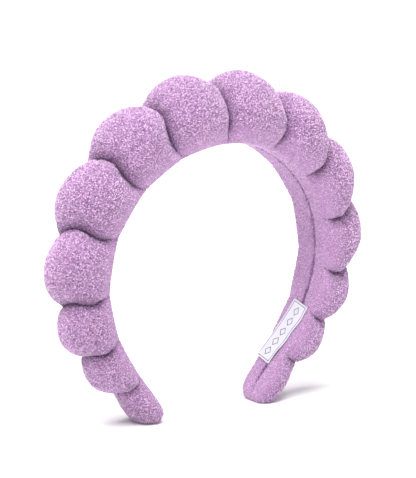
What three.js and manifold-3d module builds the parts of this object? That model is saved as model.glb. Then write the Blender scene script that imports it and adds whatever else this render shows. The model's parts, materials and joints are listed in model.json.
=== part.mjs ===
// A padded spa headband: a spring hoop inside a towelling tube that is stuffed and cinched into
// fourteen round puffs, with a sewn seam along the inside and a woven tab near one tip.
// Millimetres, +Z up. The band stands on its two tips, its crown at the top and its plane in XZ.
// X = 0 is the middle of the crown, Y = 0 the middle of the band's width and Z = 0 the lowest point.
//
// Every piece is placed by three lengths: "along" the head side of the band from the middle of the
// crown (negative to the left, positive to the right), "across" its width and "out" from the head.

import * as THREE from "three";
import { mergeVertices } from "three/addons/utils/BufferGeometryUtils.js";
import Module from "manifold-3d";

// ---- Driving dimensions -------------------------------------------------------------------------

const HALF_LENGTH = 180; // from the middle of the crown to a tip, along the head side
const CROWN_RADIUS = 68; // of the head side at the crown
const SHOULDER_TIGHTENING = 1.65; // how the curve tightens towards the temples
const TIP_STRAIGHTENING = 3.85; // and then straightens, and turns out a little, at the tips

// Where the creases lie along each side. They are tied by eye, so the two sides differ a little.
const CREASES = {
  right: [26.5, 52, 77, 102, 125.5, 150.5],
  left: [26, 52, 78.5, 105.5, 128.5, 152],
};
const CROWN_HEIGHT = 34; // how far a crown puff stands out from the head side
const CROWN_WIDTH = 41; // front to back
const HEIGHT_TAPER = 0.7; // share of the height lost at the tip
const WIDTH_TAPER = 0.53; // share of the width lost at the tip
const HEAD_FACE_WIDTH = 27; // of the flat face on the head, at the crown
const HEAD_FACE_TAPER = 10; // how much narrower that face is at the tip

const CREASE_HEIGHT_SHARE = 0.7; // of the puff's height, where a thread pulls it in
const CREASE_WIDTH_SHARE = 0.77;
const ROLL_OVER = 2; // how far the side of a crown puff rolls over its smaller neighbour
const ROUNDNESS = 0.4; // of a puff between its creases: 1 is half an ellipse, 0 one wave of a sine
const WIDEST_SHARE = 0.45; // of the height, where a puff is widest
const SIDE_SLANT = 0.3; // lean of the creases half way down a side, as a slope
const TIP_ROUNDING = 7; // length over which a tip rounds off
const TIP_END_SHARE = 0.55; // size of a tip's blunt end, against the full section

const CLOTH = 2; // towelling thickness
const SEAM_WIDTH = 1.2; // between the cloth's two edges on the head side
const SEAM_DRIFT = 3; // how far the seam strays from the middle, half way down the right side
const CLEARANCE = 0.4; // between a piece and the one around it
const FILLING_EASE = 1.4; // between the sponge and the cloth round it
const HOOP_CLEARANCE = 0.7; // between the hoop and the cloth on its head side
const HOOP_THICKNESS = 1.6;
const HOOP_SIDE_MARGIN = 9; // hoop's width is less than the head face's by this
const HOOP_END_MARGIN = 8; // hoop stops this far before the tip
const THREAD_RADIUS = 0.22;
const SEAM_THREAD = 0.5; // thickness of the strand that closes the seam
const CUT_MARGIN = 1.5; // by which a cutting shape reaches past what it cuts

const CREASE_GAP = 0.9; // from a crease's middle to the cloth on each side
const FLEX_SLOPE = 0.1; // extra gap on the tip's side of a crease that flexes, per mm out
const FLEXING_CREASES = 4; // on each side, counted from the crown

const TAB = { along: 142.3, across: 0.7, turned: 0.2, length: 34, width: 12, thickness: 0.5 };
const FOOT_CUT = 1.6; // how far a tip's rounded end is pressed flat by what it stands on

// ---- The band's line ----------------------------------------------------------------------------

const LINE_STEP = 0.5;
const LINE_MARGIN = 6; // the line is traced a little past the tips

// The head side of the right half as points with the angle that the band has turned by there.
function traceBandLine() {
  const points = [{ x: 0, z: 0, turn: 0 }];
  for (let s = 0; s < HALF_LENGTH + LINE_MARGIN; s += LINE_STEP) {
    const u = (s + LINE_STEP / 2) / HALF_LENGTH;
    const curvature = (1 + SHOULDER_TIGHTENING * u ** 2 - TIP_STRAIGHTENING * u ** 4) / CROWN_RADIUS;
    const last = points[points.length - 1];
    const middle = last.turn + (curvature * LINE_STEP) / 2;
    points.push({
      x: last.x + Math.cos(middle) * LINE_STEP,
      z: last.z - Math.sin(middle) * LINE_STEP,
      turn: last.turn + curvature * LINE_STEP,
    });
  }
  return points;
}

const bandLine = traceBandLine();

function lineAt(along) {
  const at = Math.abs(along) / LINE_STEP;
  const i = Math.min(Math.floor(at), bandLine.length - 2);
  const [a, b] = [bandLine[i], bandLine[i + 1]];
  const mix = (key) => THREE.MathUtils.lerp(a[key], b[key], at - i);
  const side = Math.sign(along) || 1;
  return { x: side * mix("x"), z: mix("z"), turn: side * mix("turn") };
}

// A point of the band. The floor's height is found further down, once the tips' shape is known.
let floorLevel = 0;
function place(along, across, out) {
  const p = lineAt(along);
  return new THREE.Vector3(
    p.x + out * Math.sin(p.turn),
    across,
    p.z + out * Math.cos(p.turn) - floorLevel,
  );
}

// ---- Sizes that change along the band -----------------------------------------------------------

const shareDown = (along) => Math.min(Math.abs(along) / HALF_LENGTH, 1);
const puffHeight = (along) => CROWN_HEIGHT * (1 - HEIGHT_TAPER * shareDown(along) ** 2);
const puffWidth = (along) => CROWN_WIDTH * (1 - WIDTH_TAPER * shareDown(along));
const headFaceWidth = (along) => HEAD_FACE_WIDTH - HEAD_FACE_TAPER * shareDown(along) ** 2;

// The thread is wound round the tube like a rope's lay, so the creases lean the same way on both sides.
const creaseSlant = (along) => SIDE_SLANT * Math.sin(Math.PI * shareDown(along)) ** 2;

// The seam is sewn by hand and strays towards the front on the right, and a third as far back on the
// left.
const seamAcross = (along) => {
  const stray = SEAM_DRIFT * Math.sin(Math.PI * shareDown(along));
  return along > 0 ? -stray : stray / 3;
};

// A stretch between two places counted from the crown, on one side of the band.
function stretchOn(side, near, far) {
  return side === "right" ? { side, from: near, to: far } : { side, from: -far, to: -near };
}

// The puffs of both sides, from the left tip to the right tip.
function layOutPuffs() {
  const puffs = ["left", "right"].flatMap((side) => {
    const ends = [0, ...CREASES[side], HALF_LENGTH];
    return ends.slice(1).map((far, i) => ({ ...stretchOn(side, ends[i], far), number: i + 1 }));
  });
  return puffs.sort((a, b) => a.from - b.from);
}

const puffs = layOutPuffs();
const isTip = (puff) => puff.number > CREASES[puff.side].length;

// ---- Solids by lofting --------------------------------------------------------------------------

// Half outline of a puff's section, from the middle of the head face to the top, as [across, out].
function halfOutline({ height, width, faceWidth, low = 0 }, steps) {
  const widest = low + (height - low) * WIDEST_SHARE;
  const corner = faceWidth / 2;
  const flank = new THREE.CubicBezierCurve(
    new THREE.Vector2(corner - 2, low),
    new THREE.Vector2((corner + width / 2) / 2, low),
    new THREE.Vector2(width / 2, low + (widest - low) * 0.45),
    new THREE.Vector2(width / 2, widest),
  );
  const dome = new THREE.EllipseCurve(0, widest, width / 2, height - widest, 0, Math.PI / 2);
  return [...flank.getPoints(steps), ...dome.getPoints(steps).slice(1)].map((p) => [p.x, p.y]);
}

// The whole outline, anticlockwise when seen from the left tip's end of the band.
function outline(size, steps) {
  const right = halfOutline(size, steps);
  const left = right.slice(0, -1).reverse();
  return [...right.map(([y, r]) => [-y, r]), ...left];
}

// A closed solid through rings of points that all have the same count.
function loft(rings, { looped = false } = {}) {
  const count = rings[0].length;
  const positions = rings.flat().flatMap((p) => [p.x, p.y, p.z]);
  const indices = [];
  const last = looped ? rings.length : rings.length - 1;
  for (let j = 0; j < last; j++) {
    const [a, b] = [j * count, ((j + 1) % rings.length) * count];
    for (let i = 0; i < count; i++) {
      const k = (i + 1) % count;
      indices.push(a + i, b + i, b + k, a + i, b + k, a + k);
    }
  }
  if (!looped) {
    const end = (rings.length - 1) * count;
    for (let i = 1; i < count - 1; i++) indices.push(0, i, i + 1, end, end + i + 1, end + i);
  }
  const geometry = new THREE.BufferGeometry();
  geometry.setAttribute("position", new THREE.Float32BufferAttribute(positions, 3));
  geometry.setIndex(indices);
  return geometry;
}

// ---- A puff's rings -----------------------------------------------------------------------------

const ellipse = (t) => Math.sqrt(1 - (2 * t - 1) ** 2);
const bulge = (t) => ROUNDNESS * ellipse(t) + (1 - ROUNDNESS) * Math.sin(Math.PI * t);
const STATIONS = [0, 0.06, 0.2, 0.5, 0.8, 0.94, 1];
const TIP_STATIONS = [0, 0.06, 0.2, 0.5, 0.78, 0.92, 1];
const OUTLINE_STEPS = 3;
const NOSE_SHARE = 0.9; // size of a tip where it starts to round off, against the full section

const lastFlexing = (side) => CREASES[side][FLEXING_CREASES - 1];
const flexes = (crease) =>
  Math.abs(crease) > 0 && Math.abs(crease) <= lastFlexing(crease < 0 ? "left" : "right");

// Where a crease lies along the band at a place round the tube.
function creaseAlong(crease, across, out) {
  const tied = puffHeight(crease) * CREASE_HEIGHT_SHARE;
  const climb = Math.min(Math.max(out / tied, 0), 1);
  const roll = ROLL_OVER * (puffHeight(crease) / CROWN_HEIGHT);
  const rolled = Math.sign(crease) * roll * Math.sin(Math.PI * climb);
  return crease - creaseSlant(crease) * across + rolled;
}

// Where a puff's cloth ends beside a crease: the tip's side of a flexing crease leaves a wedge free.
function edgeBeside(crease, puff, across, out) {
  const inwards = crease === puff.from ? 1 : -1;
  const isTipSide = Math.abs(crease) < Math.abs((puff.from + puff.to) / 2);
  const wedge = flexes(crease) && isTipSide ? FLEX_SLOPE * Math.max(0, out - hoopMiddle) : 0;
  return creaseAlong(crease, across, out) + inwards * (CREASE_GAP + wedge);
}

// Height and width of a puff at a share t of its length, pulled in at its creases.
function puffSize(puff, t) {
  const along = THREE.MathUtils.lerp(puff.from, puff.to, t);
  const middle = (puff.from + puff.to) / 2;
  const [atLow, atHigh] = [puff.from, puff.to].map((end) =>
    isTip(puff) && Math.abs(end) > Math.abs(middle) ? NOSE_SHARE : CREASE_HEIGHT_SHARE,
  );
  const [wideLow, wideHigh] = [atLow, atHigh].map((share) => Math.max(share, CREASE_WIDTH_SHARE));
  const [lowHeight, highHeight] = [puffHeight(puff.from) * atLow, puffHeight(puff.to) * atHigh];
  const [lowWidth, highWidth] = [puffWidth(puff.from) * wideLow, puffWidth(puff.to) * wideHigh];
  const blend = (low, full, high) => {
    const straight = THREE.MathUtils.lerp(low, high, t);
    return straight + (full - straight) * bulge(t);
  };
  const faceWidth = headFaceWidth(along);
  return {
    height: blend(lowHeight, puffHeight(middle), highHeight),
    width: Math.max(blend(lowWidth, puffWidth(middle), highWidth), faceWidth + 1),
    faceWidth,
  };
}

// Rings of a puff shrunk by "inset" all round. "past" lengthens a hollow beyond its creases, whose
// ends then follow the skin round it.
function puffRings(puff, inset, past = 0) {
  const tipEnd = isTip(puff) ? (puff.from < 0 ? puff.from : puff.to) : null;
  const stations = tipEnd === null ? STATIONS : TIP_STATIONS;
  const order = tipEnd !== null && tipEnd < 0 ? stations.map((t) => 1 - t).reverse() : stations;
  return order.map((t) => {
    const full = puffSize(puff, t);
    const { height, width, faceWidth } = full;
    const skin = outline(full, OUTLINE_STEPS);
    const size = {
      height: height - inset,
      width: width - 2 * inset,
      faceWidth: faceWidth - 2 * inset,
      low: inset,
    };
    const points = outline(size, OUTLINE_STEPS);
    return points.map(([across, out], i) => {
      const ends = [puff.from, puff.to].map((end) => {
        const outward = end === puff.from ? -1 : 1;
        if (end === tipEnd) return end - outward * inset;
        const besides = past > 0 ? skin[i] : [across, out];
        return edgeBeside(end, puff, ...besides) + outward * past;
      });
      const along = THREE.MathUtils.lerp(ends[0], ends[1], t);
      if (tipEnd === null) return place(along, across, out);
      const beyond = Math.abs(along) - (HALF_LENGTH - inset - TIP_ROUNDING);
      const share = Math.min(Math.max(beyond / TIP_ROUNDING, 0), 1);
      const shrink = 1 - (1 - TIP_END_SHARE) * (1 - Math.sqrt(1 - share ** 2));
      const middle = height / 2;
      return place(along, across * shrink, middle + (out - middle) * shrink);
    });
  });
}

// ---- Cutting and joining ------------------------------------------------------------------------

const wasm = await Module();
wasm.setup();

function toSolid(geometry) {
  const bare = geometry.clone();
  bare.deleteAttribute("normal");
  bare.deleteAttribute("uv");
  const merged = mergeVertices(bare, 1e-4);
  return new wasm.Manifold(
    new wasm.Mesh({
      numProp: 3,
      vertProperties: merged.attributes.position.array,
      triVerts: new Uint32Array(merged.index.array),
    }),
  );
}

function toGeometry(solid) {
  const mesh = solid.getMesh();
  const geometry = new THREE.BufferGeometry();
  geometry.setAttribute("position", new THREE.BufferAttribute(mesh.vertProperties, 3));
  geometry.setIndex(new THREE.BufferAttribute(mesh.triVerts, 1));
  return geometry;
}

// Without the slivers that a cut can leave at an edge.
function largestBody(solid) {
  const bodies = solid.decompose();
  return bodies.reduce((a, b) => (a.volume() > b.volume() ? a : b));
}

function boxSolid(width, depth, height, centre) {
  return toSolid(new THREE.BoxGeometry(width, depth, height).translate(...centre));
}

// ---- Pieces -------------------------------------------------------------------------------------

const hoopLow = CLOTH + HOOP_CLEARANCE;
const hoopMiddle = hoopLow + HOOP_THICKNESS / 2;
const hoopTop = hoopLow + HOOP_THICKNESS;

// A strip of rectangular section that follows the band, from one place along it to another. Its ends
// lean with the creases, and it is divided across its width so that it stays true where it leans.
function bandStrip(from, to, size) {
  const { low, high, halfWidth, middle = () => 0, leans = true, divisions = 2, stride = 6 } = size;
  const steps = Math.max(2, Math.ceil((to - from) / stride));
  const rows = Array.from({ length: divisions + 1 }, (_, i) => (2 * i) / divisions - 1);
  const rings = [];
  for (let j = 0; j <= steps; j++) {
    const along = THREE.MathUtils.lerp(from, to, j / steps);
    const lean = leans ? creaseSlant(along) : 0;
    const point = (share, out) => {
      const across = middle(along) + share * halfWidth(along);
      return place(along - lean * across, across, out);
    };
    const top = rows.map((share) => point(share, high));
    const bottom = rows.map((share) => point(-share, low));
    rings.push([...top, ...bottom]);
  }
  return loft(rings);
}

// The cloth is open along the head side, where its two edges are sewn together.
function coverGeometry(puff) {
  const outer = toSolid(loft(puffRings(puff, 0)));
  const inner = toSolid(loft(puffRings(puff, CLOTH, CUT_MARGIN)));
  const slit = toSolid(
    bandStrip(puff.from - CUT_MARGIN, puff.to + CUT_MARGIN, {
      low: -CUT_MARGIN,
      high: CLOTH + CUT_MARGIN / 3,
      halfWidth: () => SEAM_WIDTH / 2,
      middle: seamAcross,
      divisions: 1,
      stride: 12,
    }),
  );
  const depth = CROWN_HEIGHT;
  const floor = boxSolid(2 * HALF_LENGTH, 2 * CROWN_WIDTH, depth, [0, 0, -depth / 2]);
  return toGeometry(largestBody(outer.subtract(inner).subtract(slit).subtract(floor)));
}

// The filling fills the cloth above the hoop.
function fillingGeometry(puff) {
  const whole = toSolid(loft(puffRings(puff, CLOTH + FILLING_EASE)));
  const roomForHoop = toSolid(
    bandStrip(puff.from - CROWN_WIDTH / 4, puff.to + CROWN_WIDTH / 4, {
      low: -CUT_MARGIN,
      high: hoopTop + CLEARANCE,
      halfWidth: puffWidth,
      leans: false,
    }),
  );
  return toGeometry(whole.subtract(roomForHoop));
}

function hoopLinkGeometry({ from, to }) {
  const end = HALF_LENGTH - HOOP_END_MARGIN;
  const [low, high] = [Math.max(from + CREASE_GAP, -end), Math.min(to - CREASE_GAP, end)];
  return bandStrip(low, high, {
    low: hoopLow,
    high: hoopTop,
    halfWidth: (along) => (headFaceWidth(along) - HOOP_SIDE_MARGIN) / 2,
  });
}

function seamThreadGeometry({ from, to }) {
  const end = HALF_LENGTH - TIP_ROUNDING;
  const [low, high] = [Math.max(from + CREASE_GAP, -end), Math.min(to - CREASE_GAP, end)];
  return bandStrip(low, high, {
    low: (CLOTH - SEAM_THREAD) / 2,
    high: (CLOTH + SEAM_THREAD) / 2,
    halfWidth: () => SEAM_THREAD / 2,
    middle: seamAcross,
    divisions: 1,
  });
}

// A thread that lies in a crease, over the puffs, and crosses under the filling above the hoop.
function cinchThreadGeometry(crease) {
  const share = (size, part) => size * part - THREAD_RADIUS;
  const low = hoopTop + CLEARANCE + THREAD_RADIUS;
  const size = {
    height: share(puffHeight(crease), CREASE_HEIGHT_SHARE),
    width: Math.max(share(puffWidth(crease), CREASE_WIDTH_SHARE), headFaceWidth(crease)),
    faceWidth: headFaceWidth(crease) - CLOTH,
    low,
  };
  const middleOfPuff = new THREE.Vector2(0, (size.height + low) / 2);
  const sides = 4;
  const rings = outline(size, OUTLINE_STEPS).map(([across, out]) => {
    const outwards = new THREE.Vector2(across, out).sub(middleOfPuff).normalize();
    return Array.from({ length: sides }, (_, i) => {
      const angle = (i / sides) * 2 * Math.PI;
      const aside = THREAD_RADIUS * Math.cos(angle);
      const away = THREAD_RADIUS * Math.sin(angle);
      return place(
        creaseAlong(crease, across, out) + aside,
        across + outwards.x * away,
        out + outwards.y * away,
      );
    });
  });
  return loft(rings, { looped: true });
}

// The woven tab lies on the head side, a little askew over the seam.
function tabGeometry() {
  const steps = 6;
  const rings = [];
  for (let j = 0; j <= steps; j++) {
    const down = TAB.length * (j / steps - 0.5);
    const [near, far] = [-CLEARANCE, -CLEARANCE - TAB.thickness];
    const half = TAB.width / 2;
    const corners = [[-half, far], [-half, near], [half, near], [half, far]];
    const [cos, sin] = [Math.cos(TAB.turned), Math.sin(TAB.turned)];
    rings.push(
      corners.map(([side, out]) =>
        place(TAB.along + down * cos - side * sin, TAB.across + down * sin + side * cos, out),
      ),
    );
  }
  return loft(rings);
}

// ---- Materials ----------------------------------------------------------------------------------

const material = (color, roughness, metalness = 0) =>
  new THREE.MeshStandardMaterial({ color, roughness, metalness });

const towelling = material(0xc496ca, 0.95);
const filling = material(0xf2efe8, 0.9);
const plastic = material(0xe9e6df, 0.45);
const sewingThread = material(0xa679ad, 0.7);
const wovenTab = material(0xeef0f6, 0.75);

// ---- Assembly -----------------------------------------------------------------------------------

// The floor meets the tips where their rounded ends have been pressed flat.
const lowestPoint = Math.min(...puffRings(puffs[0], 0).flat().map((p) => p.z));
floorLevel = lowestPoint + FOOT_CUT;

// Stretches of the band that move as one: the crown, one puff each down to the last flexing crease,
// and the leg below it.
function stretches() {
  const crown = { name: "crown", from: -CREASES.left[0], to: CREASES.right[0] };
  const sides = ["left", "right"].flatMap((side) => {
    const ends = [...CREASES[side].slice(0, FLEXING_CREASES), HALF_LENGTH];
    return ends.slice(1).map((far, i) => {
      const part = i === FLEXING_CREASES - 1 ? "leg" : i + 2;
      return { name: `${side}_${part}`, ...stretchOn(side, ends[i], far) };
    });
  });
  return [crown, ...sides];
}

const headband = new THREE.Group();

function addPiece(name, geometry, itsMaterial) {
  const mesh = new THREE.Mesh(geometry, itsMaterial);
  mesh.name = name;
  headband.add(mesh);
}

for (const puff of puffs) {
  addPiece(`cover_${puff.side}_${puff.number}`, coverGeometry(puff), towelling);
  addPiece(`filling_${puff.side}_${puff.number}`, fillingGeometry(puff), filling);
}

for (const stretch of stretches()) {
  addPiece(`hoop_${stretch.name}`, hoopLinkGeometry(stretch), plastic);
  addPiece(`seam_thread_${stretch.name}`, seamThreadGeometry(stretch), sewingThread);
}

for (const puff of puffs.filter((p) => !isTip(p))) {
  const crease = puff.side === "right" ? puff.to : puff.from;
  addPiece(`cinch_thread_${puff.side}_${puff.number}`, cinchThreadGeometry(crease), sewingThread);
}
addPiece("cinch_thread_crown", cinchThreadGeometry(0), sewingThread);
addPiece("woven_tab", tabGeometry(), wovenTab);

export default headband;
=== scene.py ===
# %% [markdown]
# # A padded spa headband
# A spa headband keeps hair off a wet face. It is a springy hoop inside a towelling tube that is
# stuffed with sponge and tied off into fourteen round puffs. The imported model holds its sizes, its
# bodies and its hinges. This lesson dresses that model in cloth, thread and sponge, and every place
# in it comes from the band's own line, so that the cloth fits the frame with no adjusting.

# %% Load the frame
import json
import math

import bpy
import numpy as np
from mathutils import Matrix, Vector, noise


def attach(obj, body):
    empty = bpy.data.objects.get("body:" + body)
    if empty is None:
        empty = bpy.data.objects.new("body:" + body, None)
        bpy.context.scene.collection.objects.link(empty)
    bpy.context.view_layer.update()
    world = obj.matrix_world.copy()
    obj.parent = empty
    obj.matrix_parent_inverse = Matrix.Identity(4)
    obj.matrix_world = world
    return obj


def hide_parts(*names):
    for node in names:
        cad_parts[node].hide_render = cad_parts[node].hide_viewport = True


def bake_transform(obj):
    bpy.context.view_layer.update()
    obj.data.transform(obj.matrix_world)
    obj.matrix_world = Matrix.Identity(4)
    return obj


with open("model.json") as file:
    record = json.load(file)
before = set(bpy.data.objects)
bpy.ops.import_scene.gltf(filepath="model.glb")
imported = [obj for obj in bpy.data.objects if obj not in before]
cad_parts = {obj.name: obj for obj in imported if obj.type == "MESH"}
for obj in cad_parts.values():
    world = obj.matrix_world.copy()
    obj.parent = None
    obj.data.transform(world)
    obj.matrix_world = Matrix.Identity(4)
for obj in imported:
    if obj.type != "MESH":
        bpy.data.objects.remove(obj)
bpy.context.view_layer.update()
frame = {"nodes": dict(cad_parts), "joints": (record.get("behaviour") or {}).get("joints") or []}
MM = 0.001

# %% [markdown]
# ## The band's line
# Everything is placed by three lengths: "along" the head side from the middle of the crown, "across"
# the band from front to back, and "out" from the head. The head side is a curve whose bend changes
# smoothly: rounder at the temples, nearly straight at the legs. A bend that is a formula could be
# drawn as a Bezier curve by hand, but adding it up in small steps keeps it the same as the frame's.

# %% Trace the line and place points on it
HALF_LENGTH = 180 * MM
CROWN_RADIUS = 68 * MM
SHOULDER_TIGHTENING = 1.65
TIP_STRAIGHTENING = 3.85
LINE_STEP = 0.5 * MM
LINE_MARGIN = 8 * MM
HINGE_ALONG = 26.5 * MM
HINGE_OUT = 3.5 * MM


def trace_line():
    """Lengths along the right half of the band, with x, z and the angle turned at each."""
    along = np.arange(0, HALF_LENGTH + LINE_MARGIN, LINE_STEP)
    u = (along + LINE_STEP / 2) / HALF_LENGTH
    curvature = (1 + SHOULDER_TIGHTENING * u**2 - TIP_STRAIGHTENING * u**4) / CROWN_RADIUS
    turn = np.concatenate([[0], np.cumsum(curvature * LINE_STEP)])
    middle = turn[:-1] + curvature * LINE_STEP / 2
    x = np.concatenate([[0], np.cumsum(np.cos(middle) * LINE_STEP)])
    z = np.concatenate([[0], -np.cumsum(np.sin(middle) * LINE_STEP)])
    return np.append(along, along[-1] + LINE_STEP), x, z, turn


LINE_ALONG, LINE_X, LINE_Z, LINE_TURN = trace_line()
first_hinge = next(j for j in frame["joints"] if j["name"] == "right_flex_1")
hinge_turn = np.interp(HINGE_ALONG, LINE_ALONG, LINE_TURN)
hinge_drop = np.interp(HINGE_ALONG, LINE_ALONG, LINE_Z) + HINGE_OUT * math.cos(hinge_turn)
CROWN_LEVEL = first_hinge["pos_m"][2] - hinge_drop


def place(along, across, out):
    """Points of the band as an array of x, y, z."""
    along, across, out = np.broadcast_arrays(along, across, out)
    side = np.where(along < 0, -1.0, 1.0)
    turn = np.interp(abs(along), LINE_ALONG, LINE_TURN)
    x = np.interp(abs(along), LINE_ALONG, LINE_X) + out * np.sin(turn)
    z = np.interp(abs(along), LINE_ALONG, LINE_Z) + out * np.cos(turn) + CROWN_LEVEL
    return np.stack([side * x, across, z], -1)


def find_on_band(points):
    """The along, across and out of each point: the opposite of place()."""
    side = np.where(points[:, 0] < 0, -1.0, 1.0)
    x, z = abs(points[:, 0]), points[:, 2] - CROWN_LEVEL
    nearest = ((x[:, None] - LINE_X) ** 2 + (z[:, None] - LINE_Z) ** 2).argmin(1)
    turn = LINE_TURN[nearest]
    dx, dz = x - LINE_X[nearest], z - LINE_Z[nearest]
    out = dx * np.sin(turn) + dz * np.cos(turn)
    step = dx * np.cos(turn) - dz * np.sin(turn)
    bend = np.gradient(LINE_TURN, LINE_ALONG)[nearest]
    along = LINE_ALONG[nearest] + step / (1 + out * bend)
    return side * along, points[:, 1], out


print("head side of the crown, mm up:", round(CROWN_LEVEL / MM, 2))

# %% [markdown]
# ## Puffs and creases
# A thread round the tube makes each crease, and the stuffing between two threads makes a puff. Puffs
# shrink towards the tips. The creases are tied by eye, so the two sides differ a little. A crease
# leans like the lay of a rope, because the thread is wound on in one direction, and the larger puff
# rolls a little over the smaller one beyond it.

# %% Sizes along the band
TIED_AT = {"right": [26.5, 52, 77, 102, 125.5, 150.5], "left": [26, 52, 78.5, 105.5, 128.5, 152]}  # mm
CROWN_HEIGHT, HEIGHT_TAPER = 34 * MM, 0.7
CROWN_WIDTH, WIDTH_TAPER = 41 * MM, 0.53
FACE_WIDTH, FACE_TAPER = 27 * MM, 10 * MM
PILE_DEPTH = 0.7 * MM
CREASE_HEIGHT_SHARE, CREASE_WIDTH_SHARE = 0.69, 0.7
WIDEST_SHARE = 0.45
SIDE_SLANT = 0.3
ROLL_OVER = 3.8 * MM


def share_down(along):
    return np.minimum(abs(np.asarray(along, float)) / HALF_LENGTH, 1)


def full_height(along):
    return CROWN_HEIGHT * (1 - HEIGHT_TAPER * share_down(along) ** 2) - PILE_DEPTH


def full_width(along):
    return CROWN_WIDTH * (1 - WIDTH_TAPER * share_down(along)) - 2 * PILE_DEPTH


def face_width(along):
    return FACE_WIDTH - FACE_TAPER * share_down(along) ** 2


def crease_line(crease, across, out):
    """How far along the band a crease lies at each place round the tube."""
    slant = SIDE_SLANT * math.sin(math.pi * share_down(crease)) ** 2
    climb = np.clip(out / (full_height(crease) * CREASE_HEIGHT_SHARE), 0, 1)
    roll = ROLL_OVER * full_height(crease) / CROWN_HEIGHT
    return crease - slant * across + np.sign(crease) * roll * np.sin(math.pi * climb)


def lay_out_puffs():
    """Each puff's side, number and ends, counted from the crown."""
    found = []
    for side, places in TIED_AT.items():
        ends = [0.0, *(place * MM for place in places), HALF_LENGTH]
        for number in range(1, len(ends)):
            near, far = ends[number - 1 : number + 1]
            low, high = (near, far) if side == "right" else (-far, -near)
            found.append({"side": side, "number": number, "low": low, "high": high})
    return found


PUFFS = lay_out_puffs()
TIP_NUMBER = max(puff["number"] for puff in PUFFS)
print(len(PUFFS), "puffs, from", full_height(0) / MM, "to", full_height(HALF_LENGTH) / MM, "mm high")

# %% [markdown]
# ## The tube's section
# Cut across, the tube is flat where it meets the head, with a small valley where its two edges are
# sewn together, and domed on the outside. The valley drifts off the middle down each leg. The same
# number of points goes round every section, in the same order, so that the sections join into a
# clean grid of quads. A grid like that bends and subdivides better than a remeshed lump.

# %% Draw one section
SEAM_COLUMNS = [(0.0, 1.0), (0.5, 0.35), (1.1, -0.05)]  # across and out of the sewn valley, in mm
FACE_COLUMNS = 3
FLANK_COLUMNS = 8
DOME_COLUMNS = 12
FACE_PILLOW = 0.35 * MM
CORNER_SOFTNESS = 1.6 * MM
RIM_REACH, RIM_RISE = 0.8, 0.32
SEAM_DRIFT, TIMES_LESS_ON_LEFT = 3 * MM, 3


def half_section(height, width, face):
    """Across and out of the points from the sewn valley to the top, on the back side."""
    corner = face / 2 - CORNER_SOFTNESS
    valley = [(a * MM, o * MM) for a, o in SEAM_COLUMNS]
    first = valley[-1][0]
    flat = []
    for i in range(1, FACE_COLUMNS + 1):
        across = first + (corner - first) * i / FACE_COLUMNS
        flat.append((across, -FACE_PILLOW * (1 - (across / corner) ** 2)))
    widest = height * WIDEST_SHARE
    a, b = np.array([corner, 0]), np.array([corner + (width / 2 - corner) * RIM_REACH, 0])
    c, d = np.array([width / 2, widest * RIM_RISE]), np.array([width / 2, widest])
    flank = []
    for i in range(1, FLANK_COLUMNS + 1):
        t = i / FLANK_COLUMNS
        flank.append((1 - t) ** 3 * a + 3 * (1 - t) ** 2 * t * b + 3 * (1 - t) * t**2 * c + t**3 * d)
    dome = []
    for i in range(1, DOME_COLUMNS + 1):
        angle = math.pi / 2 * i / DOME_COLUMNS
        dome.append((width / 2 * math.cos(angle), widest + (height - widest) * math.sin(angle)))
    return np.array([*valley, *flat, *flank, *dome])


def section(height, width, face):
    """Across and out of the whole section: up the back side, over the top, down the front side."""
    back = half_section(height, width, face)
    front = back[-2:0:-1] * [-1, 1]
    return np.concatenate([back, front])


def seam_across(along):
    """The seam is sewn by hand and drifts off the middle along each leg, most on the right one."""
    drift = np.sin(math.pi * share_down(along)) * SEAM_DRIFT
    return np.where(np.asarray(along) > 0, -drift, drift / TIMES_LESS_ON_LEFT)


HALF_COLUMNS = len(SEAM_COLUMNS) + FACE_COLUMNS + FLANK_COLUMNS + DOME_COLUMNS - 1
COLUMNS = 2 * HALF_COLUMNS
FACE_END = len(SEAM_COLUMNS) + FACE_COLUMNS - 1
column_height = np.minimum(np.arange(COLUMNS), COLUMNS - np.arange(COLUMNS))
SEAM_PULL = np.clip(1 - (column_height - len(SEAM_COLUMNS) + 1) / FACE_COLUMNS, 0, 1)
print(COLUMNS, "points round the tube")

# %% [markdown]
# ## Puffs before stuffing
# Between two threads the cloth swells in an arc that starts straight up from each thread, which is
# half of an ellipse. Rings of points are packed closer near the threads, where the cloth turns
# fastest. The tips end in a blunt round nose instead of a second thread. Each puff starts a little
# slack, and the next step stuffs it.

# %% Build a puff's grid
RINGS = 17
TIP_ROUNDING = 8 * MM
TIP_BLUNTNESS = 2.5
TIP_CLOSED_SHARE = 0.985
TIP_END_SIZE = 0.9
CREASE_GAP, GAP_STARTS, GAP_RISE = 0.4 * MM, 2 * MM, 5 * MM
ROUNDNESS = 0.4
GRIP_STARTS, GRIP_FULL = FACE_END - 1, FACE_END + 4
THREAD_GRIP = np.clip((column_height - GRIP_STARTS) / (GRIP_FULL - GRIP_STARTS), 0, 1)
SLACK = 0.93
ring_share = (1 - np.cos(math.pi * np.arange(RINGS) / (RINGS - 1))) / 2


def is_tip(puff):
    return puff["number"] == TIP_NUMBER


def end_shares(puff):
    """Height and width at a puff's two ends, as shares of the full size."""
    thread = (CREASE_HEIGHT_SHARE, CREASE_WIDTH_SHARE)
    nose = (TIP_END_SIZE, TIP_END_SIZE)
    low = nose if is_tip(puff) and puff["side"] == "left" else thread
    high = nose if is_tip(puff) and puff["side"] == "right" else thread
    return low, high


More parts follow.
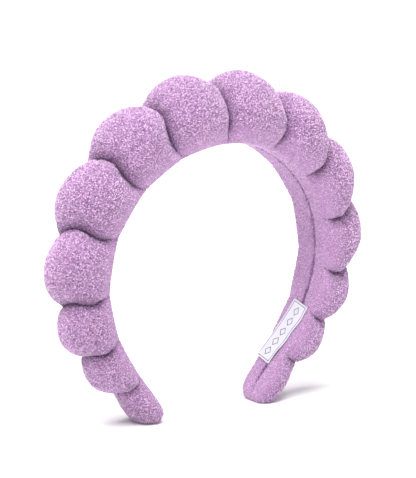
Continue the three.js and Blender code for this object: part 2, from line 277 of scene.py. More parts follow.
def puff_sections(puff, slack):
    """The section at each ring of a puff."""
    low, high = end_shares(puff)
    middle = (puff["low"] + puff["high"]) / 2
    round_rise = np.sqrt(np.clip(1 - (2 * ring_share - 1) ** 2, 0, 1))
    swell = ROUNDNESS * round_rise + (1 - ROUNDNESS) * np.sin(math.pi * ring_share)
    found = []
    for t, full in zip(ring_share, swell):
        along = puff["low"] + (puff["high"] - puff["low"]) * t
        untied, tied = [
            [size(puff["low"]) * a * (1 - t) + size(puff["high"]) * b * t for size, a, b in ends]
            for ends in (
                ((full_height, 1, 1), (full_width, 1, 1)),
                ((full_height, low[0], high[0]), (full_width, low[1], high[1])),
            )
        ]
        height, width = (size(middle) for size in (full_height, full_width))
        loose = section(height, width, face_width(along))
        pulled = section(*tied, min(face_width(along), tied[1]))
        foot = section(*untied, face_width(along))
        gathered = foot + (pulled - foot) * THREAD_GRIP[:, None]
        found.append(gathered + (loose - gathered) * (full * slack))
    return np.array(found)


def crease_gap(out):
    """The cloth meets its neighbour on the head side and stands off it deeper in the crease."""
    rise = np.clip((out - GAP_STARTS) / GAP_RISE, 0, 1)
    return CREASE_GAP * rise * rise * (3 - 2 * rise)


def puff_edges(puff, across, out):
    """Where a puff's cloth may begin and end along the band."""
    low = crease_line(puff["low"], across, out) + crease_gap(out)
    high = crease_line(puff["high"], across, out) - crease_gap(out)
    if is_tip(puff) and puff["side"] == "left":
        low = np.full_like(out, puff["low"])
    if is_tip(puff) and puff["side"] == "right":
        high = np.full_like(out, puff["high"])
    return low, high


def nose_size(along):
    """How much of its section is left as a tip rounds off."""
    beyond = np.clip((abs(along) - (HALF_LENGTH - TIP_ROUNDING)) / TIP_ROUNDING, 0, TIP_CLOSED_SHARE)
    return (1 - beyond**TIP_BLUNTNESS) ** (1 / TIP_BLUNTNESS)


def puff_points(puff, slack):
    """Points of a puff as an array of rings, columns and x, y, z."""
    sections = puff_sections(puff, slack)
    across, out = sections[..., 0], sections[..., 1]
    low, high = puff_edges(puff, across, out)
    along = low + (high - low) * ring_share[:, None]
    across = across + seam_across(along) * SEAM_PULL
    if is_tip(puff):
        size = nose_size(along)
        middle = out.max(1, keepdims=True) / 2
        across, out = across * size, middle + (out - middle) * size
    return place(along, across, out)


def puff_faces():
    """Quads round the tube and a fan of triangles over each end, all facing out."""
    quads = []
    for k in range(RINGS - 1):
        for i in range(COLUMNS):
            j = (i + 1) % COLUMNS
            quads.append((k * COLUMNS + i, k * COLUMNS + j, (k + 1) * COLUMNS + j, (k + 1) * COLUMNS + i))
    low_centre, high_centre = RINGS * COLUMNS, RINGS * COLUMNS + 1
    last = (RINGS - 1) * COLUMNS
    fans = []
    for i in range(COLUMNS):
        j = (i + 1) % COLUMNS
        fans.append((low_centre, j, i))
        fans.append((high_centre, last + i, last + j))
    return quads + fans


def with_end_points(rings):
    """Adds the middle point of each end to a puff's points."""
    centres = [(ring[HALF_COLUMNS] + ring[0]) / 2 for ring in (rings[0], rings[-1])]
    return np.concatenate([rings.reshape(-1, 3), centres])


def mesh_object(name, points, faces=(), edges=()):
    mesh = bpy.data.meshes.new(name)
    mesh.from_pydata([tuple(p) for p in points], edges, faces)
    made = bpy.data.objects.new(name, mesh)
    bpy.context.scene.collection.objects.link(made)
    return made


PUFF_FACES = puff_faces()
PUFF_POINTS = RINGS * COLUMNS + 2
print(PUFF_POINTS, "points and", len(PUFF_FACES), "faces in each slack puff")

# %% [markdown]
# ## Stuffing by simulation
# Cloth that is tied down and blown up finds its own roundness and its own small tucks beside the
# threads. All fourteen puffs are simulated at once, as one object. Threads, the flat head side and
# the hidden ends are pinned. The cloth is cut a little too large, pressure fills it, and there is no
# gravity, because sponge holds it up. Cloth settings suit objects about a metre across, so the puffs
# are simulated enlarged.

# %% Stuff the puffs
SIM_SCALE = 20
SIM_FRAMES = 20
SIM_PRESSURE = 6.0
SIM_GROWTH = 0.05
CLOTH_MASS, CLOTH_STIFFNESS, CLOTH_SHEAR, CLOTH_BENDING = 0.2, 15, 8, 0.8
MOST_MOVE = 4 * MM
PINNED_COLUMNS = FACE_END + 2
FREE_COLUMNS = FACE_END + 7


def pin_weights():
    """1 where the cloth is held, falling to 0 up the flanks."""
    up = np.clip((column_height - PINNED_COLUMNS) / (FREE_COLUMNS - PINNED_COLUMNS), 0, 1)
    weights = np.tile(1 - up, (RINGS, 1))
    weights[0] = weights[-1] = 1
    return np.concatenate([weights.ravel(), [1, 1]])


def stuff(points):
    """Blows up all the puffs and returns their points."""
    flat = np.concatenate(points) * SIM_SCALE
    faces = [tuple(v + n * PUFF_POINTS for v in f) for n in range(len(points)) for f in PUFF_FACES]
    cloth_object = mesh_object("stuffing", flat, faces)
    pins = cloth_object.vertex_groups.new(name="pins")
    for index, weight in enumerate(np.tile(pin_weights(), len(points))):
        pins.add([index], float(weight), "REPLACE")
    modifier = cloth_object.modifiers.new("stuffing", "CLOTH")
    cloth = modifier.settings
    cloth.quality = 5
    cloth.mass = CLOTH_MASS
    cloth.tension_stiffness = cloth.compression_stiffness = CLOTH_STIFFNESS
    cloth.shear_stiffness = CLOTH_SHEAR
    cloth.bending_stiffness = CLOTH_BENDING
    cloth.vertex_group_mass = "pins"
    cloth.use_pressure = True
    cloth.uniform_pressure_force = SIM_PRESSURE
    cloth.shrink_min = -SIM_GROWTH
    cloth.effector_weights.gravity = 0
    modifier.collision_settings.use_collision = False
    modifier.point_cache.frame_start = 1
    modifier.point_cache.frame_end = SIM_FRAMES
    for number in range(1, SIM_FRAMES + 1):
        bpy.context.scene.frame_set(number)
    evaluated = cloth_object.evaluated_get(bpy.context.evaluated_depsgraph_get())
    result = np.empty(len(flat) * 3)
    evaluated.data.vertices.foreach_get("co", result)
    bpy.data.objects.remove(cloth_object)
    bpy.context.scene.frame_set(1)
    move = result.reshape(-1, 3) / SIM_SCALE - flat / SIM_SCALE
    length = np.linalg.norm(move, axis=1, keepdims=True)
    print("stuffing moved the cloth by", (length.max() / MM).round(2), "mm at most")
    move *= np.minimum(1, MOST_MOVE / np.maximum(length, 1e-9))
    return np.split(flat / SIM_SCALE + move, len(points))


stuffed = stuff([with_end_points(puff_points(p, SLACK)) for p in PUFFS])

# %% [markdown]
# ## Pressed together, gathered and furred
# Stuffed puffs push against each other, so each is held back at its creases and the cloth goes flat
# where two meet. The tips are pressed flat by the table. Then the grid is subdivided once, and small
# hills are added: soft lumps of sponge, and tucks that fan out from the thread where the extra cloth
# is gathered in.

# %% Finish the puffs' cloth
LUMP_HEIGHT, LUMP_SIZE = 0.35 * MM, 9 * MM
NAP_HEIGHT, NAP_SIZE = 0.14 * MM, 1.6 * MM
TUCK_HEIGHT, TUCK_REACH = 0.45 * MM, 6 * MM
TUCKS_ROUND, FULL_TURN = 26, 6.28
TUCKS_START = 1.5 * MM
DOME_STARTS, DOME_RISE = 0.12, 0.3
CREASE_SHADE_REACH = 1.0 * MM
CRISP_ANGLE = math.radians(60)


def end_rings(puff):
    """The rings of a puff that a thread ties: both, or one on a tip."""
    open_end = {"right": RINGS - 1, "left": 0}[puff["side"]] if is_tip(puff) else None
    return [k for k in (0, RINGS - 1) if k != open_end]


def press(puff, points):
    """Holds a puff's points between its creases and above the table."""
    along, across, out = find_on_band(points)
    low, high = puff_edges(puff, across, out)
    held = place(np.clip(along, low, high), across, out)
    rings = held[:-2].reshape(RINGS, COLUMNS, 3)
    tied = puff_points(puff, 1.0)
    for k in end_rings(puff):
        rings[k] = tied[k]
    held = with_end_points(rings)
    held[:, 2] = np.maximum(held[:, 2], 0)
    return held


def mark_grid(mesh, puff):
    """Keeps the tied rings crisp through subdivision, and marks the hidden ends, which grow no pile."""
    tied = end_rings(puff)
    ring_of = np.append(np.repeat(np.arange(RINGS), COLUMNS), [-1, -1])
    ends = np.empty(len(mesh.edges) * 2, int)
    mesh.edges.foreach_get("vertices", ends)
    first, second = ring_of[ends.reshape(-1, 2)].T
    crisp = (first == second) & np.isin(first, tied)
    mesh.attributes.new("crease_edge", "FLOAT", "EDGE").data.foreach_set("value", crisp.astype(np.float32))
    outside = np.ones(len(mesh.polygons), np.float32)
    outside[-2 * COLUMNS :: 2] = 0 not in tied
    outside[-2 * COLUMNS + 1 :: 2] = RINGS - 1 not in tied
    mesh.attributes.new("outside", "FLOAT", "FACE").data.foreach_set("value", outside)


def plain_copy(source, name):
    """The evaluated mesh of an object as a new object with no modifiers. The source is removed."""
    graph = bpy.context.evaluated_depsgraph_get()
    mesh = bpy.data.meshes.new_from_object(source.evaluated_get(graph))
    bpy.data.objects.remove(source)
    mesh.name = name
    made = bpy.data.objects.new(name, mesh)
    bpy.context.scene.collection.objects.link(made)
    return made


def point_array(mesh, what="co"):
    data = np.empty(len(mesh.vertices) * 3)
    if what == "co":
        mesh.vertices.foreach_get("co", data)
    else:
        mesh.vertex_normals.foreach_get("vector", data)
    return data.reshape(-1, 3)


def hills(puff, points):
    """Each point's height on the cloth's small hills, how far up the dome it is, and its share of
    painted light, 0 in a crease, where shade is painted into the colour, and 1 out of it."""
    along, across, out = find_on_band(points)
    height = full_height((puff["low"] + puff["high"]) / 2)
    up = np.clip((out / height - DOME_STARTS) / DOME_RISE, 0, 1)
    low, high = puff_edges(puff, across, out)
    from_thread = np.minimum(along - low, high - along)
    if is_tip(puff):
        inner = puff["low"] if puff["side"] == "right" else puff["high"]
        from_thread = abs(along - crease_line(inner, across, out))
    angle = np.arctan2(out - height / 3, across)
    lumps = np.array([noise.noise(Vector(p) / LUMP_SIZE) for p in points]) * LUMP_HEIGHT * up
    nap = np.array([noise.noise(Vector(p) / NAP_SIZE) for p in points]) * NAP_HEIGHT
    round_tube = angle * TUCKS_ROUND / FULL_TURN
    ripple = np.array([noise.noise(Vector((r, puff["low"] / MM, 0))) for r in round_tube])
    from_thread = np.clip(from_thread, 0, None)
    near = np.exp(-from_thread / TUCK_REACH) * np.clip(from_thread / TUCKS_START, 0, 1)
    # Painted shade: this share falls towards 0 in a crease, and the colour is made darker there.
    painted_crease_light = 1 - np.exp(-from_thread / CREASE_SHADE_REACH) * np.clip(up * 2, 0, 1)
    return lumps + nap + ripple * near * TUCK_HEIGHT * 2 * up, up, painted_crease_light


def make_puff(puff, points):
    """The finished cloth of one puff. It carries its nap, 0 on the head side and 1 on the dome, and
    its share of painted light, 0 in a crease, where shade is painted, and 1 out of it."""
    name = f"puff_{puff['side']}_{puff['number']}"
    slack_cloth = mesh_object(name + "_grid", press(puff, points), PUFF_FACES)
    mark_grid(slack_cloth.data, puff)
    finer = slack_cloth.modifiers.new("finer", "SUBSURF")
    finer.levels = finer.render_levels = 1
    made = plain_copy(slack_cloth, name)
    mesh = made.data
    mesh.polygons.foreach_set("use_smooth", np.ones(len(mesh.polygons), bool))
    mesh.set_sharp_from_angle(angle=CRISP_ANGLE)
    here, facing = point_array(mesh), point_array(mesh, "normal")
    height, up, painted_crease_light = hills(puff, here)
    moved = here + facing * height[:, None]
    moved[:, 2] = np.maximum(moved[:, 2], 0)
    mesh.vertices.foreach_set("co", moved.ravel())
    # The "open" attribute carries the painted shade of the creases.
    for label, values in (("nap", up), ("open", painted_crease_light)):
        mesh.attributes.new(label, "FLOAT", "POINT").data.foreach_set("value", values.astype(np.float32))
    mesh.update()
    return made


puff_objects = {}
for puff, points in zip(PUFFS, stuffed):
    puff_objects[puff["side"], puff["number"]] = make_puff(puff, points)
print("puff faces:", sum(len(o.data.polygons) for o in puff_objects.values()))

# %% [markdown]
# ## Building node trees in a script
# A node tree in a script is a list of nodes and links. Three small helpers keep it readable: one
# adds a node and sets its inputs by name, one makes a tree with named inputs, and one runs a tree on
# a mesh and keeps the result as a plain mesh.

# %% Helpers for node trees
def add_node(tree, kind, values=None, **settings):
    made = tree.nodes.new(kind)
    for key, value in settings.items():
        setattr(made, key, value)
    for key, value in (values or {}).items():
        if isinstance(value, bpy.types.NodeSocket):
            tree.links.new(value, made.inputs[key])
        else:
            made.inputs[key].default_value = value
    return made


def geometry_tree(name, inputs):
    """A Geometry Nodes tree with a mesh in and out, and named numbers as inputs."""
    tree = bpy.data.node_groups.new(name, "GeometryNodeTree")
    tree.interface.new_socket("Geometry", in_out="INPUT", socket_type="NodeSocketGeometry")
    for label, value in inputs.items():
        kind = "NodeSocketInt" if isinstance(value, int) else "NodeSocketFloat"
        tree.interface.new_socket(label, in_out="INPUT", socket_type=kind).default_value = value
    tree.interface.new_socket("Geometry", in_out="OUTPUT", socket_type="NodeSocketGeometry")
    return tree, tree.nodes.new("NodeGroupInput").outputs


def end_tree(tree, instances, material):
    """Ends a tree in Realize Instances and Set Material."""
    real = add_node(tree, "GeometryNodeRealizeInstances", {"Geometry": instances})
    painted = add_node(tree, "GeometryNodeSetMaterial", {"Geometry": real.outputs[0]})
    painted.inputs["Material"].default_value = material
    tree.links.new(painted.outputs[0], tree.nodes.new("NodeGroupOutput").inputs[0])


def run_tree(tree, mesh, values, name):
    """What a tree makes of a mesh, as a plain mesh object."""
    source = bpy.data.objects.new(name + "_source", mesh)
    bpy.context.scene.collection.objects.link(source)
    modifier = source.modifiers.new(tree.name, "NODES")
    modifier.node_group = tree
    for item in tree.interface.items_tree:
        if item.in_out == "INPUT" and item.name in values:
            modifier[item.identifier] = values[item.name]
    return plain_copy(source, name)


# %% [markdown]
# ## Finishes
# Cotton towelling scatters light softly, and the loops' ends catch it, so it gets a high roughness
# and a pale sheen. Its colour wavers at the size of a loop, and shade is painted into it in the
# creases, where little light gets in. A picture of towelling would be quicker, but a pattern made
# of noise has no edges and fits any size.

# %% Mix the finishes
def linear(red, green, blue):
    """A colour given as 0 to 255, as Blender's shaders want it."""
    curve = [c / 255 / 12.92 if c < 11 else ((c / 255 + 0.055) / 1.055) ** 2.4 for c in (red, green, blue)]
    return (*curve, 1.0)


LILAC_LIGHT = linear(184, 144, 187)
# The deep lilac also serves as painted shade in the creases.
LILAC_DEEP_AND_CREASE_SHADE = linear(98, 62, 104)
LILAC_SHEEN = (0.95, 0.86, 1.0, 1.0)
# The deep loop colour also serves as painted shade in the creases.
LOOP_DEEP_AND_CREASE_SHADE, LOOP_PALE = linear(142, 100, 147), linear(250, 214, 250)
THREAD_COLOUR, THREAD_PALE = linear(104, 66, 116), linear(160, 118, 170)
COTTON_SHINE = 0.2
HILLS_LOW, HILLS_HIGH = 0.36, 0.62
HEAD_SIDE_PALENESS = 0.5


def start_material(name, roughness, **shader):
    made = bpy.data.materials.new(name)
    made.use_nodes = True
    surface = made.node_tree.nodes["Principled BSDF"]
    surface.inputs["Roughness"].default_value = roughness
    for key, value in shader.items():
        surface.inputs[key.replace("_", " ")].default_value = value
    return made, made.node_tree, surface


def colour_mix(tree, share, first, second):
    mixed = add_node(tree, "ShaderNodeMix", {"Factor": share}, data_type="RGBA")
    mixed.inputs[6].default_value = first
    mixed.inputs[7].default_value = second
    return mixed.outputs[2]


def noise_on_object(tree, size, detail=2.0, distortion=0.0):
    """Noise whose hills are about as long as the given size, in metres."""
    place_on = add_node(tree, "ShaderNodeTexCoord").outputs["Object"]
    made = add_node(tree, "ShaderNodeTexNoise", {"Vector": place_on, "Scale": 1 / size, "Detail": detail})
    made.inputs["Distortion"].default_value = distortion
    return made.outputs["Fac"]


def stretch(tree, value, low, high):
    """Spreads a value between low and high over 0 to 1."""
    spread = {"Value": value, "From Min": low, "From Max": high}
    return add_node(tree, "ShaderNodeMapRange", spread).outputs[0]


def bump(tree, surface, height, depth):
    lifted = add_node(tree, "ShaderNodeBump", {"Height": height, "Distance": depth})
    tree.links.new(lifted.outputs[0], surface.inputs["Normal"])


def start_cotton(name):
    made, tree, surface = start_material(name, 0.95, Sheen_Weight=0.5, Sheen_Roughness=0.5)
    surface.inputs["Sheen Tint"].default_value = LILAC_SHEEN
    surface.inputs["Specular IOR Level"].default_value = COTTON_SHINE
    return made, tree, surface


def towelling_finish():
    made, tree, surface = start_cotton("towelling")
    loops = noise_on_object(tree, 0.9 * MM, detail=3.0, distortion=1.2)
    # The colour is paler towards the head side, where the nap attribute is 0.
    paling_by_nap = add_node(tree, "ShaderNodeAttribute", attribute_name="nap").outputs["Fac"]
    paler = {"Value": paling_by_nap, "To Min": HEAD_SIDE_PALENESS, "To Max": 0.0}
    paling_by_nap = add_node(tree, "ShaderNodeMapRange", paler).outputs[0]
    spread = {"Value": loops, "From Min": HILLS_LOW, "From Max": HILLS_HIGH, "To Min": paling_by_nap}
    shade = add_node(tree, "ShaderNodeMapRange", spread).outputs[0]
    # Painted shade: the colour is made darker in the creases, where the "open" attribute falls to 0.
    painted_light_in_creases = add_node(tree, "ShaderNodeAttribute", attribute_name="open").outputs["Fac"]
    shade = add_node(tree, "ShaderNodeMath", {0: shade, 1: painted_light_in_creases}, operation="MULTIPLY").outputs[0]
    colour = colour_mix(tree, shade, LILAC_DEEP_AND_CREASE_SHADE, LILAC_LIGHT)
    tree.links.new(colour, surface.inputs["Base Color"])
    bump(tree, surface, loops, 0.5 * MM)
    return made


def loop_finish():
    """The pile's own finish: each loop carries a number that sets how deep its lilac is, with
    painted shade in the creases.
    """
    made, tree, surface = start_cotton("towelling loops")
    tint = add_node(tree, "ShaderNodeAttribute", attribute_name="loop_tint").outputs["Fac"]
    fibres = noise_on_object(tree, 0.25 * MM)
    colour = colour_mix(tree, tint, LOOP_DEEP_AND_CREASE_SHADE, LOOP_PALE)
    tree.links.new(colour, surface.inputs["Base Color"])
    bump(tree, surface, fibres, 0.08 * MM)
    return made


def thread_finish():
    made, tree, surface = start_material("sewing thread", 0.6, Sheen_Weight=0.2)
    strands = noise_on_object(tree, 0.3 * MM, detail=1.0)
    colour = colour_mix(tree, stretch(tree, strands, 0.3, 0.7), THREAD_COLOUR, THREAD_PALE)
    tree.links.new(colour, surface.inputs["Base Color"])
    bump(tree, surface, strands, 0.1 * MM)
    return made


def sponge_finish():
    made, tree, surface = start_material("sponge", 0.9)
    place_on = add_node(tree, "ShaderNodeTexCoord").outputs["Object"]
    pores = add_node(tree, "ShaderNodeTexVoronoi", {"Vector": place_on, "Scale": 1 / (1.2 * MM)}).outputs[0]
    colour = colour_mix(tree, stretch(tree, pores, 0.1, 0.5), linear(205, 196, 178), linear(244, 240, 228))
    tree.links.new(colour, surface.inputs["Base Color"])
    bump(tree, surface, pores, 0.4 * MM)
    return made


def hoop_finish():
    made, tree, surface = start_material("hoop plastic", 0.4)
    flow = noise_on_object(tree, 6 * MM)
    colour = colour_mix(tree, flow, linear(232, 229, 220), linear(244, 242, 236))
    tree.links.new(colour, surface.inputs["Base Color"])
    bump(tree, surface, flow, 0.1 * MM)
    return made


towelling = towelling_finish()
towelling_loops = loop_finish()
sewing_thread = thread_finish()
sponge = sponge_finish()
hoop_plastic = hoop_finish()

for node_name, node_object in frame["nodes"].items():
    inside = {"filling": sponge, "hoop": hoop_plastic, "seam": sewing_thread, "cinch": sewing_thread}
    finish = inside.get(node_name.split("_")[0], towelling)
    node_object.data.materials.clear()
    node_object.data.materials.append(finish)
for made in puff_objects.values():
    made.data.materials.append(towelling)
print("finishes:", [m.name for m in bpy.data.materials])

# %% [markdown]
# ## The towelling's pile
# Towelling is covered in tiny loops of cotton. Hair particles could stand for them, but particles
# don't export. Here Geometry Nodes scatter points over the cloth and put a little arch of yarn on
# each, leaning and turned at random. The head side has a shorter, sparser nap, worn flat by use.

# %% Grow the pile
LOOP_WIDTH, LOOP_LIFT, YARN_RADIUS = 0.62 * MM, 1.25, 0.13 * MM
LOOPS_PER_MM2 = 2.1
NAP_ON_HEAD_SIDE = 0.85
SHORT_NAP = 0.75
PALE_ON_HEAD_SIDE = 0.25
LOOP_LEAN = 0.55
LOOP_SMALLEST, LOOP_LARGEST = 0.75, 1.25
ARCH_START, ARCH_SWEEP = math.radians(-20), math.radians(220)
PILE_FLOOR = 0.9 * MM


def pile_tree():
    inputs = {"Loops per m2": 1.0, "Loop width": 1.0, "Loop lift": 1.0, "Yarn radius": 1.0}
    inputs |= {"Lean": 1.0, "Seed": 1}
    tree, given = geometry_tree("pile", inputs)
    nap = add_node(tree, "GeometryNodeInputNamedAttribute", {"Name": "nap"}, data_type="FLOAT")
    share = add_node(tree, "ShaderNodeMapRange", {"Value": nap.outputs[0], "To Min": NAP_ON_HEAD_SIDE})
    position = add_node(tree, "GeometryNodeInputPosition")
    height = add_node(tree, "ShaderNodeSeparateXYZ", {"Vector": position.outputs[0]})
    above = {0: height.outputs["Z"], 1: PILE_FLOOR}
    off_table = add_node(tree, "ShaderNodeMath", above, operation="GREATER_THAN")
    outside = add_node(tree, "GeometryNodeInputNamedAttribute", {"Name": "outside"}, data_type="FLOAT")
    kept = given["Loops per m2"]
    for part in (share, off_table, outside):
        both = {0: kept, 1: part.outputs[0]}
        kept = add_node(tree, "ShaderNodeMath", both, operation="MULTIPLY").outputs[0]
    spread = {"Mesh": given["Geometry"], "Density": kept, "Seed": given["Seed"]}
    points = add_node(tree, "GeometryNodeDistributePointsOnFaces", spread)
    radius = add_node(tree, "ShaderNodeMath", {0: given["Loop width"], 1: 0.5}, operation="MULTIPLY")
    arch = add_node(tree, "GeometryNodeCurveArc", {"Resolution": 4, "Radius": radius.outputs[0]})
    arch.inputs["Start Angle"].default_value = ARCH_START
    arch.inputs["Sweep Angle"].default_value = ARCH_SWEEP
    stand = add_node(tree, "GeometryNodeTransform", {"Geometry": arch.outputs[0]})
    stand.inputs["Rotation"].default_value = (math.pi / 2, 0, 0)
    profile = {"Resolution": 3, "Radius": given["Yarn radius"]}
    yarn = add_node(tree, "GeometryNodeCurvePrimitiveCircle", profile)
    body = {"Curve": stand.outputs[0], "Profile Curve": yarn.outputs[0]}
    loop = add_node(tree, "GeometryNodeCurveToMesh", body)
    stretch_up = add_node(tree, "ShaderNodeCombineXYZ", {"X": 1.0, "Y": 1.0, "Z": given["Loop lift"]})
    taller = {"Geometry": loop.outputs[0], "Scale": stretch_up.outputs[0]}
    lifted = add_node(tree, "GeometryNodeTransform", taller)
    lean_back = add_node(tree, "ShaderNodeMath", {0: given["Lean"], 1: -1.0}, operation="MULTIPLY")
    least = {"X": lean_back.outputs[0], "Y": lean_back.outputs[0], "Z": 0.0}
    low = add_node(tree, "ShaderNodeCombineXYZ", least)
    most = {"X": given["Lean"], "Y": given["Lean"], "Z": 2 * math.pi}
    high = add_node(tree, "ShaderNodeCombineXYZ", most)
    turned = add_node(tree, "FunctionNodeRandomValue", {"Seed": given["Seed"]}, data_type="FLOAT_VECTOR")
    tree.links.new(low.outputs[0], turned.inputs[0])
    tree.links.new(high.outputs[0], turned.inputs[1])
    angles = add_node(tree, "FunctionNodeEulerToRotation", {"Euler": turned.outputs[0]})
    facing = {"Rotation": points.outputs["Rotation"], "Rotate By": angles.outputs[0]}
    rotation = add_node(tree, "FunctionNodeRotateRotation", facing, rotation_space="LOCAL")
    sizes = {2: LOOP_SMALLEST, 3: LOOP_LARGEST, "Seed": given["Seed"]}
    size = add_node(tree, "FunctionNodeRandomValue", sizes, data_type="FLOAT")
    shorter = add_node(tree, "ShaderNodeMapRange", {"Value": nap.outputs[0], "To Min": SHORT_NAP})
    size = add_node(tree, "ShaderNodeMath", {0: size.outputs[1], 1: shorter.outputs[0]}, operation="MULTIPLY")
    placed = {"Points": points.outputs["Points"], "Instance": lifted.outputs[0]}
    placed |= {"Rotation": rotation.outputs[0], "Scale": size.outputs[0]}
    loops = add_node(tree, "GeometryNodeInstanceOnPoints", placed)
    # The loops are paler towards the head side, where the nap attribute is 0.
    palest = {"Value": nap.outputs[0], "To Min": PALE_ON_HEAD_SIDE, "To Max": 0.0}
    palest = add_node(tree, "ShaderNodeMapRange", palest).outputs[0]
    tint = add_node(tree, "FunctionNodeRandomValue", {2: palest, "Seed": given["Seed"]}, data_type="FLOAT")
    # Painted shade: each loop's tint is made darker in the creases, where the "open" attribute falls to 0.
    painted_light_in_creases = add_node(tree, "GeometryNodeInputNamedAttribute", {"Name": "open"}, data_type="FLOAT")
    deeper = {0: tint.outputs[1], 1: painted_light_in_creases.outputs[0]}
    tint = add_node(tree, "ShaderNodeMath", deeper, operation="MULTIPLY")
    stored = {"Geometry": loops.outputs[0], "Name": "loop_tint"}
    tinted = add_node(tree, "GeometryNodeStoreNamedAttribute", stored, data_type="FLOAT", domain="INSTANCE")
    tree.links.new(tint.outputs[0], tinted.inputs["Value"])
    end_tree(tree, tinted.outputs[0], towelling_loops)
    return tree


pile_objects = {}
tree_of_pile = pile_tree()
for (side, number), cloth in puff_objects.items():
    values = {"Loops per m2": LOOPS_PER_MM2 / MM**2, "Loop width": LOOP_WIDTH, "Loop lift": LOOP_LIFT}
    values |= {"Yarn radius": YARN_RADIUS, "Lean": LOOP_LEAN, "Seed": number * 2 + (side == "left")}
    pile_objects[side, number] = run_tree(tree_of_pile, cloth.data, values, f"pile_{side}_{number}")
print("pile faces:", sum(len(o.data.polygons) for o in pile_objects.values()))

# %% [markdown]
# ## The sewn seam
# The tube's two edges meet along the head side and are closed with slanting hand stitches. One
# stitch is a short bent thread. Geometry Nodes walk along the seam and put a stitch at every step,
# turned to follow the band, so one number sets the step of all of them.

# %% Sew the seam
STITCH_STEP = 2.1 * MM
STITCH_WIDTH, STITCH_SLANT, STITCH_LIFT = 1.6 * MM, 1.5 * MM, 0.6 * MM
STITCH_RADIUS = 0.32 * MM
STITCH_WANDER, STITCH_STRAY = 0.5, 0.35 * MM
STITCH_SMALLEST, STITCH_LARGEST = 0.6, 1.3
SEAM_DEPTH = 0.1 * MM
SEAM_END = 9 * MM


def stitch_tree():
    inputs = {"Step": 1.0, "Width": 1.0, "Slant": 1.0, "Lift": 1.0, "Thread radius": 1.0}
    inputs |= {"Wander": 1.0, "Stray": 1.0, "Seed": 3}
    tree, given = geometry_tree("seam stitches", inputs)
    path = add_node(tree, "GeometryNodeMeshToCurve", {"Mesh": given["Geometry"]})
    walk = {"Curve": path.outputs[0], "Length": given["Step"]}
    steps = add_node(tree, "GeometryNodeResampleCurve", walk, mode="LENGTH")
    half = {}
    for label in ("Slant", "Width"):
        for sign in (-0.5, 0.5):
            part = {0: given[label], 1: sign}
            half[label, sign] = add_node(tree, "ShaderNodeMath", part, operation="MULTIPLY").outputs[0]
    down = add_node(tree, "ShaderNodeMath", {0: given["Lift"], 1: -2.0}, operation="MULTIPLY")
    ends = [
        add_node(tree, "ShaderNodeCombineXYZ", {"X": half["Slant", sign], "Y": half["Width", sign], "Z": 0.0})
        for sign in (-0.5, 0.5)
    ]
    bow = add_node(tree, "ShaderNodeCombineXYZ", {"X": 0.0, "Y": 0.0, "Z": down.outputs[0]})
    bend = {"Resolution": 5, "Start": ends[0].outputs[0], "Middle": bow.outputs[0], "End": ends[1].outputs[0]}
    line = add_node(tree, "GeometryNodeCurveQuadraticBezier", bend)
    profile = {"Resolution": 6, "Radius": given["Thread radius"]}
    thread = add_node(tree, "GeometryNodeCurvePrimitiveCircle", profile)
    body = {"Curve": line.outputs[0], "Profile Curve": thread.outputs[0], "Fill Caps": True}
    stitch = add_node(tree, "GeometryNodeCurveToMesh", body)
    turn = add_node(tree, "GeometryNodeInputNamedAttribute", {"Name": "turn"}, data_type="FLOAT")
    back = add_node(tree, "ShaderNodeMath", {0: given["Wander"], 1: -1.0}, operation="MULTIPLY")
    twist = {2: back.outputs[0], 3: given["Wander"], "Seed": given["Seed"]}
    wander = add_node(tree, "FunctionNodeRandomValue", twist, data_type="FLOAT")
    angles = add_node(tree, "ShaderNodeCombineXYZ", {"X": 0.0, "Y": turn.outputs[0], "Z": wander.outputs[1]})
    rotation = add_node(tree, "FunctionNodeEulerToRotation", {"Euler": angles.outputs[0]})
    away = add_node(tree, "ShaderNodeMath", {0: given["Stray"], 1: -1.0}, operation="MULTIPLY")
    stray = {2: away.outputs[0], 3: given["Stray"], "Seed": given["Seed"]}
    stray = add_node(tree, "FunctionNodeRandomValue", stray, data_type="FLOAT")
    offset = add_node(tree, "ShaderNodeCombineXYZ", {"X": 0.0, "Y": stray.outputs[1], "Z": 0.0})
    moved = {"Geometry": steps.outputs[0], "Offset": offset.outputs[0]}
    moved = add_node(tree, "GeometryNodeSetPosition", moved)
    sizes = {2: STITCH_SMALLEST, 3: STITCH_LARGEST, "Seed": given["Seed"]}
    size = add_node(tree, "FunctionNodeRandomValue", sizes, data_type="FLOAT")
    placed = {"Points": moved.outputs[0], "Instance": stitch.outputs[0]}
    placed |= {"Rotation": rotation.outputs[0], "Scale": size.outputs[1]}
    end_tree(tree, add_node(tree, "GeometryNodeInstanceOnPoints", placed).outputs[0], sewing_thread)
    return tree


def seam_path(name, low, high):
    """A line of points along the sewn valley, with the angle that the band has turned at each."""
    along = np.linspace(low, high, max(2, round((high - low) / MM)))
    points = place(along, seam_across(along), SEAM_DEPTH)
    made = bpy.data.meshes.new(name)
    made.from_pydata([tuple(p) for p in points], [(i, i + 1) for i in range(len(along) - 1)], [])
    turn = np.sign(along) * np.interp(abs(along), LINE_ALONG, LINE_TURN)
    made.attributes.new("turn", "FLOAT", "POINT").data.foreach_set("value", turn.astype(np.float32))
    return made


